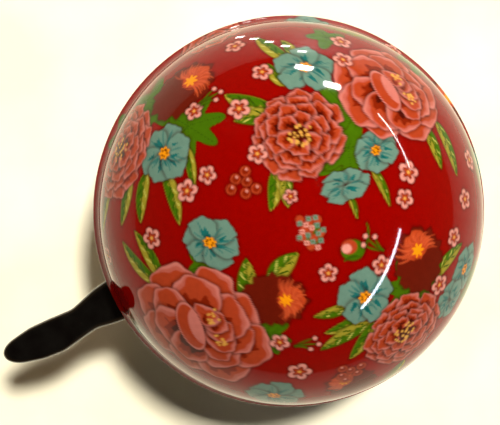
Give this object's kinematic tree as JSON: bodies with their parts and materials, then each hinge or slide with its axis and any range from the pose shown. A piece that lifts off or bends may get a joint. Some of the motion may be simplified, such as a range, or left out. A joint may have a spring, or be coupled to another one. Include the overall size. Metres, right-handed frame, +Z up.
{
  "type": "bicycle bell",
  "caption": "Large two-tone bicycle bell: printed steel dome over a lower shell, thumb lever geared to a swinging hammer, on a handlebar clamp.",
  "frame": {"origin": "centre of the handlebar bore in the clamp", "axes": "+Z up along the dome's axis, X along the handlebar, -Y towards the rider, where the thumb lever points at rest"},
  "size_m": [0.08, 0.1055, 0.0897],
  "materials": {
    "printed_enamel": null,
    "chrome": "bright plated",
    "zinc_steel": "zinc plated, satin",
    "spring_steel": "plain spring steel",
    "black_plastic": "glossy moulded",
    "carrier_plastic": "satin moulded",
    "brass": "machined",
    "black_rubber": "matt"
  },
  "bodies": {
    "bell_body": {"upper_dome": "printed_enamel", "dome_boss": "brass", "dome_anvil": "zinc_steel", "lower_shell": "chrome", "shell_anvil": "zinc_steel", "shell_washer": "black_rubber", "centre_post": "zinc_steel", "base_screw": "zinc_steel", "carrier_plate": "carrier_plastic", "carrier_lock_washer": "spring_steel", "carrier_nut": "zinc_steel", "spacer_tube": "zinc_steel", "lever_pin": "zinc_steel", "lever_clip": "spring_steel", "return_spring": "spring_steel", "rest_stop_sleeve": "black_rubber", "hammer_pin": "zinc_steel", "hammer_clip": "spring_steel", "clamp_saddle": "zinc_steel", "clamp_strap": "zinc_steel", "rubber_liner": "black_rubber", "clamp_screw_front": "zinc_steel", "clamp_screw_rear": "zinc_steel", "clamp_washer_front": "zinc_steel", "clamp_washer_rear": "zinc_steel", "clamp_nut_front": "zinc_steel", "clamp_nut_rear": "zinc_steel"},
    "lever": {"thumb_lever": "black_plastic"},
    "hammer": {"hammer_arm": "carrier_plastic", "hammer_head": "zinc_steel", "hammer_rivet": "zinc_steel"}
  },
  "joints": [
    {"name": "lever_press", "type": "hinge", "parent": "bell_body", "child": "lever", "pos_m": [0, -0.021, 0.037], "axis": [0, 0, 1], "range_deg": [0, 25], "stiffness_Nm_per_rad": 0.15, "springref_deg": -45.84, "deforming": ["return_spring"]},
    {"name": "hammer_swing", "type": "hinge", "parent": "bell_body", "child": "hammer", "pos_m": [0.01273, -0.00827, 0.037], "axis": [0, 0, 1], "range_deg": [-50, 0]}
  ],
  "couplings": [
    {"joint": "hammer_swing", "follows": "lever_press", "ratio": -2}
  ]
}
